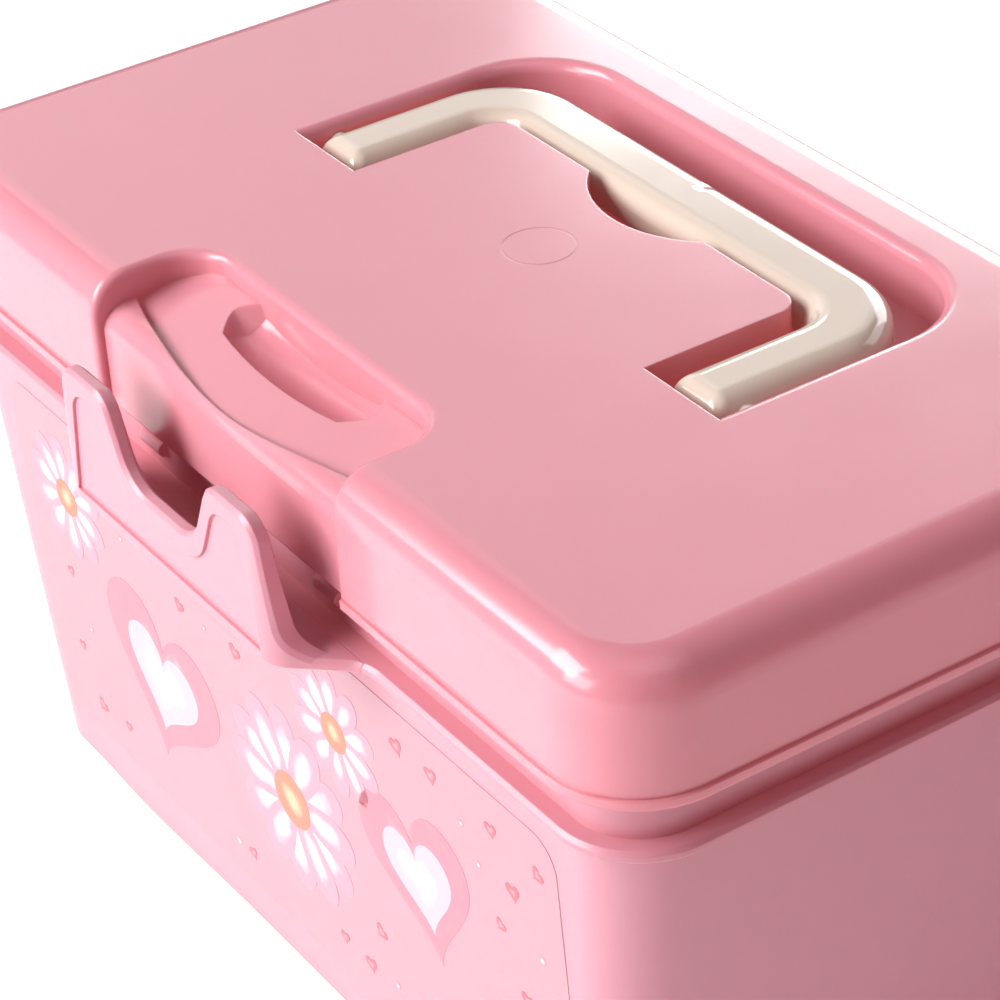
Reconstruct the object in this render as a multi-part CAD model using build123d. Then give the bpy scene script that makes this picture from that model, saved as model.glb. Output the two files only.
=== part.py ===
"""Moulded organizer case: tapered tub, hinged lid with a sunk carry handle, pull tab and lift-out tray.

Millimetres. Z is up, the front with the pull tab faces -Y, and the origin is the middle of the base.
"""
from build123d import *
import os

# Overall size, measured over the lid
case_length = 300.0
case_depth = 172.0
case_height = 176.0

# Lid shell
lid_height = 32.0
lid_wall = 2.4
lid_corner_radius = 22.0
lid_edge_radius = 10.0
lid_bead_width = 0.8
lid_bead_height = 2.2
lid_rib_thickness = 3.0
lid_rib_width = 7.0
lid_rib_spacing = 200.0
lid_void_chamfer = 6.0
gate_mark_y = 2.7
gate_mark_diameter = 17.5
gate_mark_width = 0.4
gate_mark_depth = 0.07

# Tub
tub_end_lean = 11.2
tub_front_lean = 5.7
tub_base_corner_radius = 16.0
tub_base_edge_bevel = 2.5
tub_wall = 2.4
tub_floor = 2.6
lip_drop = 12.0
lip_thickness = 3.0
lip_inset = 1.0
lip_edge_bevel = 0.9
neck_rise = 14.0
neck_clearance = 3.4

# Pull tab that stands up from a ledge of the lip
tab_reach = 14.0
tab_thickness = 4.0
tab_half_width = 44.0
tab_flare = 14.0
tab_plan_radius = 10.0
tab_rise = 21.0
tab_edge_bevel = 0.9
hump_outer = 42.0
hump_inner = 22.5
hump_radius = 6.0
notch_rise = 2.0
notch_floor_half_width = 14.0
notch_radius = 11.0
swoop_foot = 46.0
swoop_radius = 9.0
panel_border = 5.0
panel_depth = 0.7
snap_nib_spacing = 76.0
snap_nib_length = 9.0
snap_nib_radius = 2.0
snap_nib_rise = 6.0

# Recess in the front of the lid, with a finger dish
recess_half_width = 51.0
recess_length = 30.0
recess_corner_radius = 12.0
recess_edge_radius = 2.0
recess_back_depth = 5.0
recess_front_depth = 12.0
apron_setback = 2.4
apron_wall = 1.8
apron_round = 6.0
apron_top_depth = 8.0
apron_crease = 3.6
apron_bow = 8.0
dish_half_length = 33.0
dish_barrel_half_length = 24.0
dish_radius = 9.5
dish_end_radius = 7.5
dish_axis_depth = 3.0
dish_from_back = 5.5

# Handle well in the lid
well_half_width = 82.5
well_inner_half_width = 58.0
well_front = -10.5
well_bar_front = 32.5
well_back = 65.0
well_depth = 15.0
well_corner_radius = 24.0
well_inner_radius = 6.0
well_edge_radius = 3.0
scoop_radius = 31.0
scoop_depth = 9.5
rest_nib_spacing = 70.0
rest_nib_size = 7.0
seat_gap = 0.2

# Carry handle
handle_gap = 2.5
handle_leg_width = 17.5
handle_bar_width = 19.0
handle_thickness = 12.0
handle_bar_gap = 1.5
handle_tail = 8.0
handle_corner_radius = 24.0
handle_inner_radius = 8.0
handle_end_radius = 3.0
handle_top_round = 5.5
handle_base_bevel = 2.5
pivot_y = 0.0
trunnion_radius = 3.0
trunnion_depth = 4.5
trunnion_clearance = 0.06
trunnion_boss_wall = 2.4

# Hinges at the back
hinge_behind = 5.0
hinge_above_lip = 8.0
hinge_spacing = 170.0
hinge_width = 38.0
knuckle_radius = 4.5
lid_knuckle_width = 18.0
knuckle_gap = 0.5
lid_knuckle_rise = 13.0
tub_knuckle_rise = 7.0
lid_web_angle = 127.0
tub_web_angle = 135.0
pin_radius = 2.0
pin_clearance = 0.05

# Lift-out tray and the ribs that carry it
tray_lift_room = 22.0
tray_height = 34.0
tray_clearance = 2.0
tray_draft_angle = 2.5
tray_corner_radius = 14.0
tray_wall = 1.8
tray_columns = 3
tray_spine = 20.0
tray_pocket_gap = 4.8
tray_pocket_radius = 4.0
tray_grip_length = 80.0
tray_grip_width = 9.0
rib_thickness = 3.0
rib_overlap = 5.0
long_rib_spacing = 140.0

# Printed film on the front wall
label_end_margin = 14.0
label_foot_margin = 14.0
label_head_margin = 11.0
label_radius = 8.0
label_thickness = 0.12
label_gap = 0.02

# Room for cutters to run past the faces that they cut
overrun = 5.0

# Worked-out planes and outlines
lid_bottom = case_height - lid_height
skirt_front = -case_depth / 2
skirt_back = case_depth / 2
lip_top = lid_bottom - lip_drop
lip_bottom = lip_top - lip_thickness
lip_front = skirt_front + lip_inset
neck_top = lid_bottom + neck_rise
neck_length = case_length - 2 * (lid_wall + neck_clearance)
neck_depth = case_depth - 2 * (lid_wall + neck_clearance)
neck_corner_radius = lid_corner_radius - lid_wall - neck_clearance
bore_length = neck_length - 2 * tub_wall
bore_depth = neck_depth - 2 * tub_wall
bore_corner_radius = neck_corner_radius - tub_wall
tub_base_length = neck_length - 2 * tub_end_lean
tub_base_depth = neck_depth - 2 * tub_front_lean
well_floor = case_height - well_depth
handle_base = case_height - handle_thickness
pivot_z = case_height - handle_thickness / 2
handle_half_width = well_half_width - handle_gap
bar_front = well_bar_front + handle_bar_gap
bar_back = bar_front + handle_bar_width
tab_front = skirt_front - tab_reach
tab_top = lid_bottom + tab_rise
tab_end = tab_half_width + tab_flare
notch_bottom = lid_bottom + notch_rise
snap_nib_height = lip_top + snap_nib_rise
hinge_y = skirt_back + hinge_behind
hinge_z = lip_top + hinge_above_lip
tray_top = lid_bottom - seat_gap - tray_lift_room
tray_bottom = tray_top - tray_height
tray_seat = tray_bottom - seat_gap
seat_rise = (tray_seat - tub_floor) / (lip_bottom - tub_floor)
tray_foot_length = bore_length - 2 * (tub_end_lean * (1 - seat_rise) + tray_clearance)
tray_foot_depth = bore_depth - 2 * (tub_front_lean * (1 - seat_rise) + tray_clearance)


def slab(length, depth, radius, bottom, top):
    """Upright block with a rounded-rectangle plan."""
    return extrude(Pos(0, 0, bottom) * RectangleRounded(length, depth, radius), top - bottom)


def taper(lower, upper, bottom, top):
    """Straight-sided loft between two (length, depth, radius) outlines."""
    return loft([Pos(0, 0, bottom) * RectangleRounded(*lower), Pos(0, 0, top) * RectangleRounded(*upper)], ruled=True)


def block(x_range, y_range, z_range):
    """Plain box between two values on each axis."""
    ranges = (x_range, y_range, z_range)
    size = [high - low for low, high in ranges]
    centre = [(high + low) / 2 for low, high in ranges]
    return Pos(*centre) * Box(*size)


def side_prism(outline, centre, width):
    """Prism along X from a face drawn in the YZ plane."""
    return Pos(centre, 0, 0) * extrude(Plane.YZ * outline, width / 2, both=True)


def cross_rod(radius, start, end, y, z):
    """Cylinder along X between two x values."""
    return Pos((start + end) / 2, y, z) * Rot(0, 90, 0) * Cylinder(radius, end - start)


def both_sides(shape):
    """A shape together with its mirror image across the YZ plane."""
    return shape + mirror(shape, Plane.YZ)


def well_outline():
    """U-shaped plan of the handle well, with the finger scoop in front of the bar."""
    outer = Pos(0, (well_front + well_back) / 2) * Rectangle(2 * well_half_width, well_back - well_front)
    outer = fillet(outer.vertices().group_by(Axis.Y)[-1], well_corner_radius)
    inner_front = well_front - overrun
    inner_depth = well_bar_front - inner_front
    inner = Pos(0, inner_front + inner_depth / 2) * Rectangle(2 * well_inner_half_width, inner_depth)
    inner = fillet(inner.vertices().group_by(Axis.Y)[-1], well_inner_radius)
    scoop_centre = well_bar_front - scoop_depth + scoop_radius
    scoop = Pos(0, scoop_centre) * Circle(scoop_radius) & outer
    return outer - inner + scoop


def recess_space(skin, apron):
    """Space of the front recess without its dish, grown by a skin: sloping floor, bowed crease, rounded apron."""
    back = skirt_front + recess_length + skin
    front = skirt_front - overrun
    above = case_height + overrun
    below = lid_bottom - overrun
    half_width = recess_half_width + skin
    plan = Pos(0, front) * RectangleRounded(2 * half_width, 2 * (back - front), recess_corner_radius + skin)
    plan_prism = extrude(Pos(0, 0, below) * plan, above - below)

    floor_back = case_height - recess_back_depth - skin
    floor_front = case_height - recess_front_depth - skin
    floor_line = Polyline((back, above), (back, floor_back), (skirt_front, floor_front), (front, floor_front),
                          (front, above), close=True)
    floor_cut = side_prism(make_face(floor_line), 0, 2 * half_width)
    crease = skirt_front + apron_crease
    bow = ThreePointArc((-half_width, crease + apron_bow), (0, crease), (half_width, crease + apron_bow))
    rear_line = Polyline(bow @ 1, (half_width, back), (-half_width, back), bow @ 0)
    behind_crease = extrude(Pos(0, 0, below) * make_face(bow + rear_line), above - below)

    apron_top = case_height - apron_top_depth - skin
    shoulder = JernArc((apron + apron_round - skin, apron_top), (-1, 0), apron_round - skin, 90)
    rear = crease + apron_bow
    apron_line = Polyline(shoulder @ 1, (apron, below), (front, below), (front, above), (rear, above),
                          (rear, apron_top), shoulder @ 0)
    apron_cut = side_prism(make_face(shoulder + apron_line), 0, 2 * half_width)
    return plan_prism & ((floor_cut & behind_crease) + apron_cut)


def finger_dish(skin):
    """Barrel-shaped dish against the back wall of the front recess, grown by a skin."""
    back = skirt_front + recess_length
    plane = Plane((0, back - dish_from_back, case_height - dish_axis_depth), x_dir=(1, 0, 0), z_dir=(0, -1, 0))
    barrel = ThreePointArc((-dish_barrel_half_length, -dish_end_radius - skin), (0, -dish_radius - skin),
                           (dish_barrel_half_length, -dish_end_radius - skin))
    ends = Polyline(barrel @ 1, (dish_half_length + skin, 0), (-dish_half_length - skin, 0), barrel @ 0)
    dish = revolve(plane * make_face(barrel + ends), Axis(plane.origin, plane.x_dir), 360)
    return dish & block((-case_length / 2, case_length / 2), (skirt_front, back + skin), (lid_bottom, case_height))


def knuckle_point(angle):
    """Point on the round of a knuckle, seen along X, at an angle from the way back."""
    spoke = Vector(knuckle_radius, 0, 0).rotate(Axis.Z, angle)
    return (hinge_y + spoke.X, hinge_z + spoke.Y)


def hinge_ear(centre, width, outline):
    """One hinge knuckle with its web, bored for the pin."""
    knuckle = cross_rod(knuckle_radius, centre - width / 2, centre + width / 2, hinge_y, hinge_z)
    return knuckle + side_prism(outline, centre, width)


def hinge_bore(centre):
    """Clearance hole for one hinge pin."""
    half = hinge_width / 2 + overrun
    return cross_rod(pin_radius + pin_clearance, centre - half, centre + half, hinge_y, hinge_z)


def lid_outside():
    """Outer form of the lid: rolled top edges, soft-edged front recess with its dish, and the edge bead."""
    body = slab(case_length, case_depth, lid_corner_radius, lid_bottom, case_height)
    body = fillet(body.faces().sort_by(Axis.Z)[-1].edges(), lid_edge_radius)
    body -= recess_space(0, skirt_front + apron_setback)
    brim = body.edges().group_by(Axis.Z)[-1].filter_by_position(Axis.Y, skirt_front, 0)
    brim = brim.filter_by_position(Axis.X, -recess_half_width, recess_half_width)
    body = fillet(brim, recess_edge_radius)
    body -= finger_dish(0)
    bead = slab(case_length + 2 * lid_bead_width, case_depth + 2 * lid_bead_width,
                lid_corner_radius + lid_bead_width, lid_bottom, lid_bottom + lid_bead_height)
    bead_gap = recess_half_width + recess_edge_radius
    return body + (bead - block((-bead_gap, bead_gap), (skirt_front - overrun, 0), (lid_bottom, case_height)))


def lid_inside(well):
    """Space inside the lid, kept off the handle well, the front recess and the stop ribs."""
    void = slab(case_length - 2 * lid_wall, case_depth - 2 * lid_wall, lid_corner_radius - lid_wall,
                lid_bottom - overrun, case_height - lid_wall)
    void = chamfer(void.faces().sort_by(Axis.Z)[-1].edges(), lid_void_chamfer)
    void -= extrude(Pos(0, 0, well_floor - lid_wall) * offset(well, lid_wall + well_edge_radius / 2),
                    case_height - well_floor + lid_wall)
    void -= recess_space(lid_wall, skirt_front + apron_setback + apron_wall) + finger_dish(lid_wall)
    boss = cross_rod(trunnion_radius + trunnion_boss_wall, well_half_width,
                     well_half_width + trunnion_depth + trunnion_boss_wall, pivot_y, pivot_z)
    void -= both_sides(boss)
    rib_bottom = neck_top + seat_gap
    rib = block((lid_rib_spacing / 2 - lid_rib_thickness / 2, lid_rib_spacing / 2 + lid_rib_thickness / 2),
                (skirt_back - lid_wall - lid_rib_width, skirt_back), (rib_bottom, case_height))
    side_ribs = both_sides(rib)
    return void - side_ribs - mirror(side_ribs, Plane.XZ)


def make_lid():
    """Moulded lid with handle well, front recess, stop ribs and hinge knuckles."""
    well = well_outline()
    body = lid_outside() - lid_inside(well)
    body -= extrude(Pos(0, 0, well_floor) * well, well_depth + overrun)
    well_rim = body.edges().group_by(Axis.Z)[-1].filter_by_position(Axis.Y, well_front, well_back)
    outer_rim = well_rim.filter_by_position(Axis.Y, well_back - well_corner_radius, well_back)
    body = fillet(outer_rim, well_edge_radius)
    nib_y = (bar_front + bar_back) / 2
    nib = block((rest_nib_spacing / 2 - rest_nib_size / 2, rest_nib_spacing / 2 + rest_nib_size / 2),
                (nib_y - rest_nib_size / 2, nib_y + rest_nib_size / 2),
                (well_floor - lid_wall / 2, handle_base - seat_gap))
    body += both_sides(nib)
    bore = cross_rod(trunnion_radius + trunnion_clearance, well_half_width - overrun / 2,
                     well_half_width + trunnion_depth, pivot_y, pivot_z)
    body -= both_sides(bore)
    ring_radius = gate_mark_diameter / 2
    ring = Circle(ring_radius) - Circle(ring_radius - gate_mark_width)
    body -= extrude(Pos(0, gate_mark_y, case_height - gate_mark_depth) * ring, gate_mark_depth + overrun)

    web = make_face(Polyline(
        (skirt_back - lid_wall / 2, lid_bottom), (skirt_back - lid_wall / 2, lid_bottom + lid_knuckle_rise),
        (skirt_back, lid_bottom + lid_knuckle_rise), (hinge_y + knuckle_radius, hinge_z + knuckle_radius / 2),
        (hinge_y + knuckle_radius, hinge_z), (hinge_y, hinge_z), knuckle_point(lid_web_angle), close=True))
    body += both_sides(hinge_ear(hinge_spacing / 2, lid_knuckle_width, web))
    return body - both_sides(hinge_bore(hinge_spacing / 2))


def rim_outline():
    """Plan of the lip, with the ledge that carries the pull tab flowing into it."""
    lip = RectangleRounded(case_length - 2 * lip_inset, case_depth - 2 * lip_inset, lid_corner_radius - lip_inset)
    bay = make_face(Polyline(
        (-tab_end, lip_front), (-tab_half_width, tab_front), (tab_half_width, tab_front), (tab_end, lip_front),
        (0, 0), close=True))
    rim = lip + bay
    corners = rim.vertices().filter_by_position(Axis.X, -tab_end - overrun, tab_end + overrun)
    return fillet(corners.filter_by_position(Axis.Y, tab_front - overrun, lip_front + overrun), tab_plan_radius)


def tab_profile(inset):
    """Front outline of the pull tab, two humps with a notch between, drawn in from its edge by an inset."""
    crest = tab_top - inset
    foot = lip_top - lip_edge_bevel - inset
    dip = notch_bottom - inset
    right = [(notch_floor_half_width + inset / 2, dip), (hump_inner + inset / 2, crest),
             (hump_outer - inset, crest), (swoop_foot - inset, foot), (tab_end, foot)]
    left = [(-x, z) for x, z in reversed(right)]
    radii = [swoop_radius, hump_radius, hump_radius, notch_radius,
             notch_radius, hump_radius, hump_radius, swoop_radius]
    top = FilletPolyline(*left, *right, radius=radii)
    low = lip_bottom - overrun
    base = Polyline(top @ 1, (tab_end, low), (-tab_end, low), top @ 0)
    return make_face(top + base)


def make_tub():
    """Tapered tub with neck, lip, pull tab, tray ribs and hinge knuckles, in one moulding."""
    base = (tub_base_length, tub_base_depth, tub_base_corner_radius)
    neck = (neck_length, neck_depth, neck_corner_radius)
    body = taper(base, neck, 0, lip_bottom)
    body = chamfer(body.faces().sort_by(Axis.Z)[0].edges(), tub_base_edge_bevel)
    body += slab(*neck, lip_bottom, neck_top)
    rim = rim_outline()
    ledge = extrude(Pos(0, 0, lip_bottom) * rim, lip_thickness)
    body += chamfer(ledge.edges().filter_by(Axis.Z, reverse=True), lip_edge_bevel)
    wall_bottom = lip_bottom + lip_edge_bevel
    wall = extrude(Pos(0, 0, wall_bottom) * (rim - offset(rim, -tab_thickness)), tab_top - wall_bottom)
    tab = wall & extrude(Plane.XZ * tab_profile(0), case_depth)
    outline = tab.edges().filter_by_position(Axis.Z, lip_top, tab_top).filter_by(Axis.Y, reverse=True)
    body += chamfer(outline.filter_by(Axis.Z, reverse=True), tab_edge_bevel)
    panel = tab_profile(panel_border) & Pos(0, case_height / 2 + lip_top) * Rectangle(
        2 * hump_outer, case_height)
    body -= extrude(Plane.XZ.offset(-tab_front - panel_depth) * panel, panel_depth + overrun)
    nib = cross_rod(snap_nib_radius, (snap_nib_spacing - snap_nib_length) / 2,
                    (snap_nib_spacing + snap_nib_length) / 2, -neck_depth / 2, snap_nib_height)
    body += both_sides(nib)

    web = make_face(Polyline(
        (neck_depth / 2 - tub_wall / 2, lip_bottom), (hinge_y, hinge_z - knuckle_radius), (hinge_y, hinge_z),
        knuckle_point(tub_web_angle), (neck_depth / 2 - tub_wall / 2, lip_top + tub_knuckle_rise), close=True))
    ear_width = (hinge_width - lid_knuckle_width) / 2 - knuckle_gap
    for side in (-1, 1):
        ear_centre = hinge_spacing / 2 + side * (hinge_width - ear_width) / 2
        body += both_sides(hinge_ear(ear_centre, ear_width, web))

    floor_outline = (tub_base_length - 2 * tub_wall, tub_base_depth - 2 * tub_wall,
                     tub_base_corner_radius - tub_wall)
    bore = (bore_length, bore_depth, bore_corner_radius)
    inside = taper(floor_outline, bore, tub_floor, lip_bottom)
    inside += slab(*bore, lip_bottom, neck_top + overrun)
    rib_y = tray_foot_depth / 2 - rib_overlap
    rib_x = tray_foot_length / 2 - rib_overlap
    long_rib = block(((long_rib_spacing - rib_thickness) / 2, (long_rib_spacing + rib_thickness) / 2),
                     (rib_y, case_depth / 2), (0, tray_seat))
    end_rib = block((rib_x, case_length / 2), (-rib_thickness / 2, rib_thickness / 2), (0, tray_seat))
    long_ribs = both_sides(long_rib)
    inside -= long_ribs + mirror(long_ribs, Plane.XZ) + both_sides(end_rib)
    return body - inside - both_sides(hinge_bore(hinge_spacing / 2))


def flared(length, depth, radius, bottom, top):
    """Block with drafted sides that widens upwards from a rounded-rectangle foot."""
    return extrude(Pos(0, 0, bottom) * RectangleRounded(length, depth, radius), top - bottom,
                   taper=-tray_draft_angle)


def make_tray():
    """Shallow tray with two rows of pockets and a hollow spine with a grip slot."""
    body = flared(tray_foot_length, tray_foot_depth, tray_corner_radius, tray_bottom, tray_top)
    pocket_length = (tray_foot_length - (tray_columns + 1) * tray_pocket_gap) / tray_columns
    pocket_depth = (tray_foot_depth - tray_spine) / 2 - tray_pocket_gap
    pocket = flared(pocket_length, pocket_depth, tray_pocket_radius, tray_bottom + tray_wall, tray_top)
    pitch = pocket_length + tray_pocket_gap
    for column in range(tray_columns):
        x = (column - (tray_columns - 1) / 2) * pitch
        for row in (-1, 1):
            y = row * (tray_spine + pocket_depth) / 2
            body -= Pos(x, y, 0) * pocket
    hollow = tray_grip_width + 2 * tray_wall
    body -= block((tray_corner_radius - tray_foot_length / 2, tray_foot_length / 2 - tray_corner_radius),
                  (-hollow / 2, hollow / 2), (tray_bottom - overrun, tray_top - tray_wall))
    grip = Pos(0, 0, tray_bottom) * SlotOverall(tray_grip_length, tray_grip_width)
    return body - extrude(grip, tray_height + overrun)


def make_handle():
    """U-shaped carry handle, rounded on top, with a trunnion on the outside of each leg."""
    tail = pivot_y - handle_tail
    outer = Pos(0, (tail + bar_back) / 2) * Rectangle(2 * handle_half_width, bar_back - tail)
    outer = fillet(outer.vertices().group_by(Axis.Y)[-1], handle_corner_radius)
    inner_front = tail - overrun
    inner = Pos(0, (inner_front + bar_front) / 2) * Rectangle(
        2 * (handle_half_width - handle_leg_width), bar_front - inner_front)
    inner = fillet(inner.vertices().group_by(Axis.Y)[-1], handle_inner_radius)
    plan = outer - inner
    plan = fillet(plan.vertices().group_by(Axis.Y)[0], handle_end_radius)
    body = extrude(Pos(0, 0, handle_base) * plan, handle_thickness)
    body = fillet(body.faces().sort_by(Axis.Z)[-1].edges(), handle_top_round)
    body = chamfer(body.faces().sort_by(Axis.Z)[0].edges(), handle_base_bevel)
    reach = handle_gap + trunnion_depth - seat_gap
    trunnion = cross_rod(trunnion_radius, handle_half_width - handle_leg_width / 2,
                         handle_half_width + reach, pivot_y, pivot_z)
    return body + both_sides(trunnion)


def make_pin(centre):
    """Straight hinge pin."""
    return cross_rod(pin_radius, centre - hinge_width / 2, centre + hinge_width / 2, hinge_y, hinge_z)


def make_label():
    """Thin printed film lying on the sloping front wall."""
    up = Vector(0, -tub_front_lean, lip_bottom).normalized()
    outward = Vector(1, 0, 0).cross(up)
    slope_length = Vector(0, tub_front_lean, lip_bottom).length
    label_length = tub_base_length - 2 * label_end_margin
    label_height = slope_length - label_foot_margin - label_head_margin
    foot = Vector(0, -tub_base_depth / 2, 0) + outward * label_gap
    plane = Plane(foot + up * (label_foot_margin + label_height / 2), x_dir=(1, 0, 0), z_dir=outward)
    return extrude(plane * RectangleRounded(label_length, label_height, label_radius), label_thickness)


os.makedirs("parts", exist_ok=True)

# The pull tab and the tray's grip are moulded on, and are kept as nodes of their own
tub_moulding = make_tub()
tab_zone = block((-tab_end, tab_end), (tab_front - overrun, lip_front), (lip_bottom - overrun, case_height))
export_step(tub_moulding - tab_zone, "parts/tub.step")
export_step(tub_moulding & tab_zone, "parts/pull_tab.step")
export_step(make_lid(), "parts/lid.step")
export_step(make_handle(), "parts/carry_handle.step")
tray_moulding = make_tray()
grip_reach = (tray_grip_length + tray_spine) / 2
grip_zone = block((-grip_reach, grip_reach), (-tray_spine / 2, tray_spine / 2), (tray_bottom - overrun, case_height))
export_step(tray_moulding - grip_zone, "parts/lift_out_tray.step")
export_step(tray_moulding & grip_zone, "parts/tray_grip.step")
export_step(make_label(), "parts/front_label.step")
for side_name, side in (("left", -1), ("right", 1)):
    export_step(make_pin(side * hinge_spacing / 2), f"parts/hinge_pin_{side_name}.step")
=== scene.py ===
"""Looks of the moulded organizer case.

Plastics, the printed front film, soft studio light and the photograph's camera.
"""
import math
import random

import bpy
from mathutils import Matrix, Vector


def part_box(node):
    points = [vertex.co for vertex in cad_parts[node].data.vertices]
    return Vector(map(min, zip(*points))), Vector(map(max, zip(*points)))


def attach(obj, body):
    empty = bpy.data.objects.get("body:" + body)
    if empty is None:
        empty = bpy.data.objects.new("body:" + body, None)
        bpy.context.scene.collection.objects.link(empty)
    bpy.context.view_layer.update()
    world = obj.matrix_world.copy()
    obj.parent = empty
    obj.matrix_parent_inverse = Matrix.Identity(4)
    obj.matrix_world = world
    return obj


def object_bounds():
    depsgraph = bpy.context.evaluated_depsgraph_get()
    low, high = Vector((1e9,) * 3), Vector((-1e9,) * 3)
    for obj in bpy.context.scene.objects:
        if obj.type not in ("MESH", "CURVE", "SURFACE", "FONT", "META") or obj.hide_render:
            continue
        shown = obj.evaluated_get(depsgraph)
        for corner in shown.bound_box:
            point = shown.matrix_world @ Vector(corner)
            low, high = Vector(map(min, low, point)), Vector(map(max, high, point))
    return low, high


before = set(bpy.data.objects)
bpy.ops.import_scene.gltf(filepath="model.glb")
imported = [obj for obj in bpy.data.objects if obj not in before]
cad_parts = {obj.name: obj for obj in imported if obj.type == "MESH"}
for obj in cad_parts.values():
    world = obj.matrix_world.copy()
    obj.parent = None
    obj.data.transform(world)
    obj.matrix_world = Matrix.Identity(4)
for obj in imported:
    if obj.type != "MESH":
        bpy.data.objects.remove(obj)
cad_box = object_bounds()

MM = 0.001

# Camera, in metres, degrees and millimetres of a 36 mm sensor
CAMERA_PLACE = (0.573081, -0.373774, 0.557730)
CAMERA_AZIMUTH = 57.279
CAMERA_ELEVATION = 33.185
CAMERA_ROLL = -3.369
CAMERA_LENS = 124.34
CAMERA_SHIFT = (-0.02335, -0.00646)
CAMERA_CLIP_START = 0.01

# Plastic colours, linear: the usual tone, its deeper clouds, and the painted shade in folds, which also
# glows there as painted light
LID_PINK = (0.670, 0.268, 0.325)
LID_PINK_DEEP = (0.660, 0.260, 0.316)
LID_PAINTED_FOLD_SHADE = (0.600, 0.110, 0.110)
TUB_PINK = (0.590, 0.268, 0.334)
TUB_PINK_DEEP = (0.582, 0.262, 0.327)
TUB_PAINTED_FOLD_SHADE = (0.600, 0.140, 0.150)
CREAM = (0.660, 0.560, 0.485)
CREAM_DEEP = (0.645, 0.542, 0.466)
CREAM_PAINTED_FOLD_SHADE = (0.640, 0.490, 0.410)
TRAY_WHITE = (0.820, 0.740, 0.740)
TRAY_WHITE_DEEP = (0.760, 0.670, 0.680)
TRAY_PAINTED_FOLD_SHADE = (0.640, 0.440, 0.450)

# Light in the plastic: how far red, green and blue scatter, as shares of the depth, and the refraction
SCATTER_REACH = (1.0, 0.36, 0.42)
PLASTIC_IOR = 1.5

# Painted shade and painted glow in folds: their reach, and the open share of the surroundings where they are
# full and gone
PAINTED_SHADE_REACH = 14.0 * MM
PAINTED_SHADE_FULL = 0.05
PAINTED_SHADE_GONE = 0.60

# Samples that the nodes for the painted fold shade and the soft edges take
RAY_SAMPLES = 4

# Moulded surface: noise in cycles per metre with its detail, and relief as height and strength
CLOUDS = (14.0, 4.0)
GLOSS = (55.0, 2.0)
GLOSS_SPREAD = 0.08
WAVES = (38.0, 1.0)
WAVE_RELIEF = (1.2 * MM, 0.05)
SKIN = (1400.0, 2.0)
SKIN_RELIEF = (0.04 * MM, 0.06)

# Gate mark on the handle's bar: middle, radius and relief
HANDLE_GATE = (1.0 * MM, 49.0 * MM, 176.0 * MM)
HANDLE_GATE_RADIUS = 3.2 * MM
HANDLE_GATE_RELIEF = (0.5 * MM, 1.0)

# Print colours, linear
HEART_PINK = (0.700, 0.190, 0.250)
HEART_PALE = (0.840, 0.420, 0.500)
PETAL_WHITE = (0.880, 0.660, 0.730)
PETAL_ROSE = (0.720, 0.270, 0.350)
PEACH = (0.760, 0.440, 0.270)
PEACH_DEEP = (0.480, 0.190, 0.110)
DOT_ROSE = (0.520, 0.110, 0.150)
DOT_PALE = (0.740, 0.260, 0.320)

# Ink: thickness, wash and grain as for the plastic, and where the darker rim starts and is full
INK_THICKNESS = 0.06 * MM
INK_WASH = (170.0, 6.0)
INK_WASH_SHARE = 0.7
INK_RIM_START = 0.55
INK_RIM_FULL = 1.35 / 1.4
INK_ROUGHNESS = (0.29, 0.36)
INK_GRAIN = (2600.0, 2.0)
INK_GRAIN_RELIEF = (0.02 * MM, 0.2)

# Large hearts: place from the film's middle, width and turn in degrees, and the share that is lighter
BIG_HEARTS = (
    ((62 * MM, 4 * MM), 46 * MM, 14),
    ((-58 * MM, -12 * MM), 54 * MM, -12),
)
HEART_LIGHT_SHARE = 0.62

# Daisies: place from the film's middle, radius and number of petals, and shares of the radius
DAISIES = (
    ((4 * MM, -8 * MM), 30 * MM, 12),
    ((30 * MM, 28 * MM), 20 * MM, 10),
    ((-96 * MM, 26 * MM), 20 * MM, 10),
)
PETAL_LENGTH = 0.92
DAISY_CENTRE = 0.52

# Layers of the print, in thicknesses of ink
HEART_LIGHT_LIFT = 1.6
PETAL_LIFT_STEP = 0.4
CENTRE_LIFT = 2.2

# Room that the sprinkle leaves: the film's border, and around hearts and daisies as a share of their size
PRINT_BORDER = 7.0 * MM
HEART_REACH = 0.62
DAISY_REACH = 1.05

# Sprinkle of small hearts, with every third one a dot: rows of one pitch, every other row shifted
SPRINKLE_PITCH = 13.0 * MM
SPRINKLE_SHIFT = 0.5
SPRINKLE_JITTER = 3.5 * MM
SPRINKLE_SIZES_MM = (3.2, 5.6)
SPRINKLE_TURN = 40
SPRINKLE_SEED = 7
SMALL_HEART_STEPS = 28
DOT_EVERY = 3
DOT_SHARE = 0.55
DOT_STEPS = 16

# Studio
FLOOR_HALF = 6.0
FLOOR_COLOUR = (0.93, 0.93, 0.93)
FLOOR_ROUGHNESS = 0.7
FLOOR_GLOW = 0.25
WHITE = (1.0, 1.0, 1.0)
SKY_COLOUR = (1.0, 0.98, 0.98)
SKY_STRENGTH = 0.05
CASE_MIDDLE = (0.0, 0.0, 0.12)
LID_MIDDLE = (0.0, 0.0, 0.18)

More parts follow.
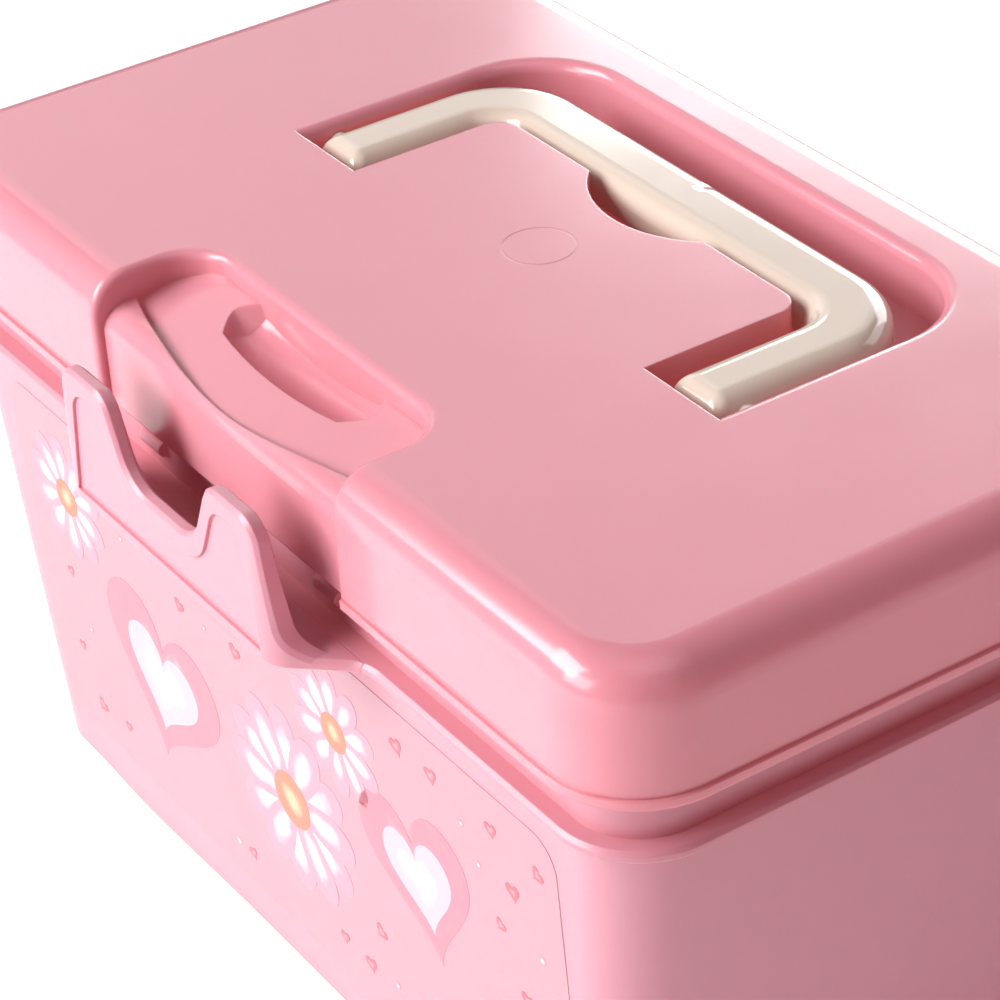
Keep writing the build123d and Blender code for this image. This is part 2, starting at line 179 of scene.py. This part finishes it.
# Lamps: name, place, target, size in metres, watts and colour
LAMPS = (
    ("key", (-0.80, -1.50, 1.30), CASE_MIDDLE, (1.3, 1.0), 53.0, (1.0, 0.98, 0.96)),
    ("front_fill", (-0.10, -1.60, 0.75), CASE_MIDDLE, (0.9, 0.7), 15.0, (1.0, 0.98, 0.97)),
    ("warm_bounce", (1.35, 0.15, 0.40), CASE_MIDDLE, (0.9, 0.7), 2.4, (1.0, 0.25, 0.24)),
    ("top", (0.45, -0.05, 1.40), CASE_MIDDLE, (0.9, 0.9), 2.5, (1.0, 0.97, 0.97)),
    ("back_fill", (0.30, 1.60, 0.80), CASE_MIDDLE, (1.0, 0.7), 7.0, (1.0, 0.99, 0.98)),
)

# Panels that show only in reflections, given in the same way
SHEEN_PANELS = (
    ("sky_panel", (-1.15, 0.75, 1.00), LID_MIDDLE, (1.7, 1.0), 8.0, WHITE),
    ("back_panel", (-0.75, 1.30, 0.51), LID_MIDDLE, (1.4, 0.9), 27.0, WHITE),
)


class Finish:
    """One procedural material, built node by node."""

    def __init__(self, name):
        self.material = bpy.data.materials.new(name)
        self.material.use_nodes = True
        self.tree = self.material.node_tree
        self.shader = self.tree.nodes["Principled BSDF"]
        self.place = self.node("ShaderNodeTexCoord").outputs["Object"]

    def node(self, kind, settings=None, **inputs):
        """Adds a node. Settings are its own fields, and inputs are values or other nodes' outputs."""
        node = self.tree.nodes.new(kind)
        for key, value in (settings or {}).items():
            setattr(node, key, value)
        for key, value in inputs.items():
            self.feed(node.inputs[key.replace("_", " ")], value)
        return node

    def feed(self, socket, value):
        """Links an output to a socket, or sets the socket's own value."""
        if isinstance(value, bpy.types.NodeSocket):
            self.tree.links.new(value, socket)
        elif isinstance(value, tuple) and socket.type == "RGBA":
            socket.default_value = (*value, 1.0)
        else:
            socket.default_value = value

    def surface(self, **inputs):
        """Feeds the surface shader."""
        for key, value in inputs.items():
            self.feed(self.shader.inputs[key.replace("_", " ")], value)

    def noise(self, scale, detail):
        """Soft noise over the object, with its scale in cycles per metre."""
        return self.node("ShaderNodeTexNoise", Vector=self.place, Scale=scale, Detail=detail).outputs["Fac"]

    def ramp(self, factor, low, high, start=0.3, end=0.7):
        """Blend from one colour to another as a factor goes from start to end."""
        node = self.node("ShaderNodeValToRGB", Fac=factor)
        for stop, position, colour in zip(node.color_ramp.elements, (start, end), (low, high)):
            stop.position = position
            stop.color = (*colour, 1.0)
        return node.outputs["Color"]

    def span(self, factor, low, high, start=0.3, end=0.7):
        """Number that goes smoothly from low to high as a factor goes from start to end."""
        settings = {"interpolation_type": "SMOOTHSTEP"}
        return self.node("ShaderNodeMapRange", settings, Value=factor, From_Min=start, From_Max=end,
                         To_Min=low, To_Max=high).outputs["Result"]

    def arithmetic(self, kind, operation, *values):
        """Result of an arithmetic node on values in the order of its inputs."""
        node = self.node(kind, {"operation": operation})
        for socket, value in zip(node.inputs, values):
            self.feed(socket, value)
        return node.outputs["Value"]

    def bump(self, height, relief, normal=None):
        """Fine relief on the surface, given as its height and strength."""
        distance, strength = relief
        node = self.node("ShaderNodeBump", Height=height, Distance=distance, Strength=strength)
        if normal is not None:
            self.feed(node.inputs["Normal"], normal)
        return node.outputs["Normal"]


def moulded_plastic(name, colour, deep, painted_fold_shade, *, roughness, edge, scatter, depth, painted_glow=0.0, gate=None):
    """Injection-moulded plastic: cloudy colour, painted shade and painted glow in folds, uneven gloss, fine
    skin and softened edges.
    """
    finish = Finish(name)
    samples = {"samples": RAY_SAMPLES}
    # Ambient occlusion gives how enclosed the surface is; the painted fold shade and glow are full in deep
    # folds and gone in the open
    open_share = finish.node("ShaderNodeAmbientOcclusion", samples, Distance=PAINTED_SHADE_REACH).outputs["AO"]
    painted_shade_share = finish.span(open_share, 1.0, 0.0, PAINTED_SHADE_FULL, PAINTED_SHADE_GONE)
    clouded = finish.ramp(finish.noise(*CLOUDS), deep, colour)
    soft_edge = finish.node("ShaderNodeBevel", samples, Radius=edge).outputs["Normal"]
    relief = finish.bump(finish.noise(*WAVES), WAVE_RELIEF, soft_edge)
    if gate:
        away = finish.arithmetic("ShaderNodeVectorMath", "DISTANCE", finish.place, gate)
        sunk = finish.span(away, 0.0, 1.0, 0.0, HANDLE_GATE_RADIUS)
        relief = finish.bump(sunk, HANDLE_GATE_RELIEF, relief)
    spread = roughness * GLOSS_SPREAD
    finish.surface(
        # Base colour is blended towards the painted fold shade where folds are enclosed and shade falls
        Base_Color=finish.node("ShaderNodeMixRGB", Fac=painted_shade_share, Color1=clouded, Color2=painted_fold_shade).outputs["Color"],
        Roughness=finish.span(finish.noise(*GLOSS), roughness - spread, roughness + spread),
        Normal=finish.bump(finish.noise(*SKIN), SKIN_RELIEF, relief),
        Subsurface_Weight=scatter,
        Subsurface_Radius=SCATTER_REACH,
        Subsurface_Scale=depth,
        # Painted glow: enclosed folds emit the painted fold shade colour, as painted light
        Emission_Color=painted_fold_shade,
        Emission_Strength=finish.span(open_share, painted_glow, 0.0, PAINTED_SHADE_FULL, PAINTED_SHADE_GONE),
        IOR=PLASTIC_IOR)
    return finish.material


def printed_ink(name, inner, rim):
    """Print with a washed inside that darkens towards the outline."""
    finish = Finish(name)
    rim_share = finish.node("ShaderNodeAttribute", {"attribute_name": "rim"}).outputs["Fac"]
    wash = finish.noise(*INK_WASH)
    blotch = finish.arithmetic("ShaderNodeMath", "MULTIPLY_ADD", wash, INK_WASH_SHARE, rim_share)
    finish.surface(
        Base_Color=finish.ramp(blotch, inner, rim, INK_RIM_START, INK_RIM_FULL),
        Roughness=finish.span(wash, *INK_ROUGHNESS),
        Normal=finish.bump(finish.noise(*INK_GRAIN), INK_GRAIN_RELIEF))
    return finish.material


def dress(material, *nodes):
    """Gives frame nodes their finished material."""
    for node in nodes:
        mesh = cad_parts[node].data
        mesh.materials.clear()
        mesh.materials.append(material)


# Finishes of the frame's own nodes, each with painted shade in its folds; lid and tub also get a painted
# glow there
lid_plastic = moulded_plastic("lid_plastic_pink", LID_PINK, LID_PINK_DEEP, LID_PAINTED_FOLD_SHADE,
                              roughness=0.17, edge=0.7 * MM, scatter=0.45, depth=3.0 * MM, painted_glow=0.32)
tub_plastic = moulded_plastic("tub_plastic_lavender", TUB_PINK, TUB_PINK_DEEP, TUB_PAINTED_FOLD_SHADE,
                              roughness=0.31, edge=0.5 * MM, scatter=0.45, depth=3.0 * MM, painted_glow=0.32)
handle_plastic = moulded_plastic("handle_plastic_cream", CREAM, CREAM_DEEP, CREAM_PAINTED_FOLD_SHADE,
                                 roughness=0.10, edge=0.6 * MM, scatter=0.10, depth=2.5 * MM,
                                 gate=HANDLE_GATE)
tray_plastic = moulded_plastic("tray_plastic_white", TRAY_WHITE, TRAY_WHITE_DEEP, TRAY_PAINTED_FOLD_SHADE,
                               roughness=0.38, edge=0.5 * MM, scatter=0.15, depth=3.0 * MM)
film = moulded_plastic("label_film_lavender", TUB_PINK, TUB_PINK_DEEP, TUB_PAINTED_FOLD_SHADE,
                       roughness=0.31, edge=0.1 * MM, scatter=0.45, depth=3.0 * MM)
dress(lid_plastic, "lid", "hinge_pin_left", "hinge_pin_right")
dress(tub_plastic, "tub", "pull_tab")
dress(handle_plastic, "carry_handle")
dress(tray_plastic, "lift_out_tray", "tray_grip")
dress(film, "front_label")


def film_plane():
    """Frame of the film's outer face: its middle, the X axis, the way up the slope and the way out."""
    foot_band = 0.01 * MM
    head_band = 0.5 * MM
    low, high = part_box("front_label")
    corners = [v.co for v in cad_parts["front_label"].data.vertices]
    foot = min((c for c in corners if c.z < low.z + foot_band), key=lambda c: c.y)
    head = min((c for c in corners if c.z > high.z - head_band), key=lambda c: c.y)
    right = Vector((1, 0, 0))
    slope = Vector((0, head.y - foot.y, head.z - foot.z))
    up = slope.normalized()
    middle = Vector((0, (foot.y + head.y) / 2, (foot.z + head.z) / 2))
    return middle, right, up, right.cross(up), high.x - low.x, slope.length


MIDDLE, RIGHT, UP, OUT, FILM_LENGTH, FILM_HEIGHT = film_plane()


def turns(steps):
    """Angles of one full turn."""
    return [2 * math.pi * step / steps for step in range(steps)]


def heart(steps=56):
    """Outline of a heart, one unit wide, from the well-known heart curve."""
    curve_width = 32
    curve_lift = 2.5
    points = []
    for t in turns(steps):
        x = 16 * math.sin(t) ** 3
        y = 13 * math.cos(t) - 5 * math.cos(2 * t) - 2 * math.cos(3 * t) - math.cos(4 * t)
        points.append((x / curve_width, (y + curve_lift) / curve_width))
    return points


def circle(steps=28):
    """Outline of a round, one unit wide."""
    return [(math.cos(t) / 2, math.sin(t) / 2) for t in turns(steps)]


def petal(steps=28):
    """Outline of a petal, one unit long from the origin along Y."""
    half_width = 0.21
    taper = 0.35
    points = []
    for t in turns(steps):
        width = half_width * math.sin(t) * (1.0 - taper * math.cos(t))
        points.append((width, 0.5 - 0.5 * math.cos(t)))
    return points


class Print:
    """Flat printed shapes on the film, gathered in one thin closed mesh."""

    RINGS = (1.0, 0.90, 0.72, 0.42)

    def __init__(self):
        self.points = []
        self.faces = []
        self.rim = []

    def add(self, outline, centre, size, turn=0.0, lift=1.0):
        """Adds one shape: its outline, its centre on the film, its size and its turn in degrees."""
        count = len(outline)
        first = len(self.points)
        core = (sum(p[0] for p in outline) / count, sum(p[1] for p in outline) / count)
        spin = Matrix.Rotation(math.radians(turn), 2)
        for share, height in [(1.0, 0.0)] + [(ring, lift) for ring in self.RINGS]:
            for x, y in outline:
                flat = Vector((core[0] + (x - core[0]) * share, core[1] + (y - core[1]) * share))
                self.place(spin @ flat * size, centre, height, share)
        self.place(spin @ Vector(core) * size, centre, lift, 0.0)
        tip = len(self.points) - 1
        self.faces.append([first + step for step in range(count)])
        for layer in range(len(self.RINGS)):
            below = first + layer * count
            above = below + count
            for step in range(count):
                after = (step + 1) % count
                self.faces.append([below + after, below + step, above + step, above + after])
        last = first + len(self.RINGS) * count
        for step in range(count):
            self.faces.append([last + (step + 1) % count, last + step, tip])

    def place(self, flat, centre, height, rim):
        """Puts one point on the film."""
        along = Vector(centre) + flat
        self.points.append(MIDDLE + RIGHT * along.x + UP * along.y + OUT * (INK_THICKNESS * height))
        self.rim.append(rim)

    def make(self, name, material):
        """Turns the gathered shapes into a piece that rides on the tub."""
        mesh = bpy.data.meshes.new(name)
        mesh.from_pydata(self.points, [], self.faces)
        mesh.attributes.new("rim", "FLOAT", "POINT").data.foreach_set("value", self.rim)
        mesh.materials.append(material)
        mesh.update()
        piece = bpy.data.objects.new(name, mesh)
        bpy.context.scene.collection.objects.link(piece)
        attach(piece, "tub")


# Printed design: two large hearts and three daisies, with the room that each takes on the film
hearts = Print()
hearts_inner = Print()
petals = Print()
centres = Print()
taken = []
for place, size, turn in BIG_HEARTS:
    hearts.add(heart(), place, size, turn)
    hearts_inner.add(heart(), place, size * HEART_LIGHT_SHARE, turn, HEART_LIGHT_LIFT)
    taken.append((place, size * HEART_REACH))
for place, size, count in DAISIES:
    for number in range(count):
        lift = 1.0 + PETAL_LIFT_STEP * (number % 2)
        petals.add(petal(), place, size * PETAL_LENGTH, 360 * number / count, lift)
    centres.add(circle(), place, size * DAISY_CENTRE, 0.0, CENTRE_LIFT)
    taken.append((place, size * DAISY_REACH))

# Sprinkle of small hearts and dots around it
small_hearts = Print()
dots = Print()
half_length = FILM_LENGTH / 2 - PRINT_BORDER
half_height = FILM_HEIGHT / 2 - PRINT_BORDER
columns = int(half_length / SPRINKLE_PITCH)
rows = int(half_height / SPRINKLE_PITCH)
random.seed(SPRINKLE_SEED)
for row in range(-rows, rows + 1):
    for column in range(-columns, columns + 1):
        step = column + SPRINKLE_SHIFT * (row % 2)
        across = step * SPRINKLE_PITCH + random.uniform(-SPRINKLE_JITTER, SPRINKLE_JITTER)
        above = row * SPRINKLE_PITCH + random.uniform(-SPRINKLE_JITTER, SPRINKLE_JITTER)
        size = random.uniform(*SPRINKLE_SIZES_MM) * MM
        turn = random.uniform(-SPRINKLE_TURN, SPRINKLE_TURN)
        inside = abs(across) < half_length and abs(above) < half_height
        clear = all(math.hypot(across - p[0], above - p[1]) > reach + size for p, reach in taken)
        if inside and clear and (row + column) % DOT_EVERY:
            small_hearts.add(heart(SMALL_HEART_STEPS), (across, above), size, turn)
        elif inside and clear:
            dots.add(circle(DOT_STEPS), (across, above), size * DOT_SHARE, turn)

hearts.make("print_large_hearts", printed_ink("ink_heart", HEART_PALE, HEART_PINK))
hearts_inner.make("print_heart_lights", printed_ink("ink_heart_light", PETAL_WHITE, HEART_PALE))
petals.make("print_daisy_petals", printed_ink("ink_petal", PETAL_WHITE, PETAL_ROSE))
centres.make("print_daisy_centres", printed_ink("ink_peach", PEACH, PEACH_DEEP))
small_hearts.make("print_small_hearts", printed_ink("ink_small_heart", DOT_PALE, DOT_ROSE))
dots.make("print_dots", printed_ink("ink_dot", PETAL_WHITE, DOT_PALE))


def area_light(name, place, target, size, watts, colour, sheen_only=False):
    """Large soft lamp that faces a target. A lamp for the sheen shows only in reflections."""
    lamp = bpy.data.lights.new(name, "AREA")
    lamp.shape = "RECTANGLE"
    lamp.size, lamp.size_y = size
    lamp.energy = watts
    lamp.color = colour
    holder = bpy.data.objects.new(name, lamp)
    holder.location = place
    holder.rotation_euler = (Vector(target) - Vector(place)).to_track_quat("-Z", "Y").to_euler()
    holder.visible_diffuse = not sheen_only
    bpy.context.scene.collection.objects.link(holder)


def make_floor():
    """Plain pale floor under the case."""
    half = FLOOR_HALF
    low = cad_box[0][2]
    corners = [(-half, -half, low), (half, -half, low), (half, half, low), (-half, half, low)]
    mesh = bpy.data.meshes.new("floor")
    mesh.from_pydata(corners, [], [(0, 1, 2, 3)])
    floor = bpy.data.objects.new("floor", mesh)
    bpy.context.scene.collection.objects.link(floor)
    finish = Finish("floor_white")
    finish.surface(Base_Color=FLOOR_COLOUR, Roughness=FLOOR_ROUGHNESS, Emission_Color=WHITE,
                   Emission_Strength=FLOOR_GLOW)
    mesh.materials.append(finish.material)


def make_sky():
    """Dim even studio surround."""
    world = bpy.data.worlds.new("studio")
    world.use_nodes = True
    background = world.node_tree.nodes["Background"]
    background.inputs["Color"].default_value = (*SKY_COLOUR, 1.0)
    background.inputs["Strength"].default_value = SKY_STRENGTH
    bpy.context.scene.world = world


def make_camera():
    """Camera at the photograph's place, turned by azimuth, elevation and roll."""
    azimuth, elevation, roll = (math.radians(a) for a in (CAMERA_AZIMUTH, CAMERA_ELEVATION, CAMERA_ROLL))
    flat = math.cos(elevation)
    back = Vector((math.sin(azimuth) * flat, -math.cos(azimuth) * flat, math.sin(elevation)))
    level = Vector((0, 0, 1)).cross(back).normalized()
    upright = back.cross(level)
    right = math.cos(roll) * level + math.sin(roll) * upright
    up = math.cos(roll) * upright - math.sin(roll) * level
    data = bpy.data.cameras.new("camera")
    data.lens = CAMERA_LENS
    data.shift_x, data.shift_y = CAMERA_SHIFT
    data.clip_start = CAMERA_CLIP_START
    camera = bpy.data.objects.new("camera", data)
    turn = Matrix((right, up, back)).transposed().to_4x4()
    camera.matrix_world = Matrix.Translation(CAMERA_PLACE) @ turn
    bpy.context.scene.collection.objects.link(camera)
    bpy.context.scene.camera = camera


make_floor()
make_sky()
for lamp in LAMPS:
    area_light(*lamp)
for panel in SHEEN_PANELS:
    area_light(*panel, sheen_only=True)
make_camera()
bpy.context.scene.view_settings.view_transform = "Standard"
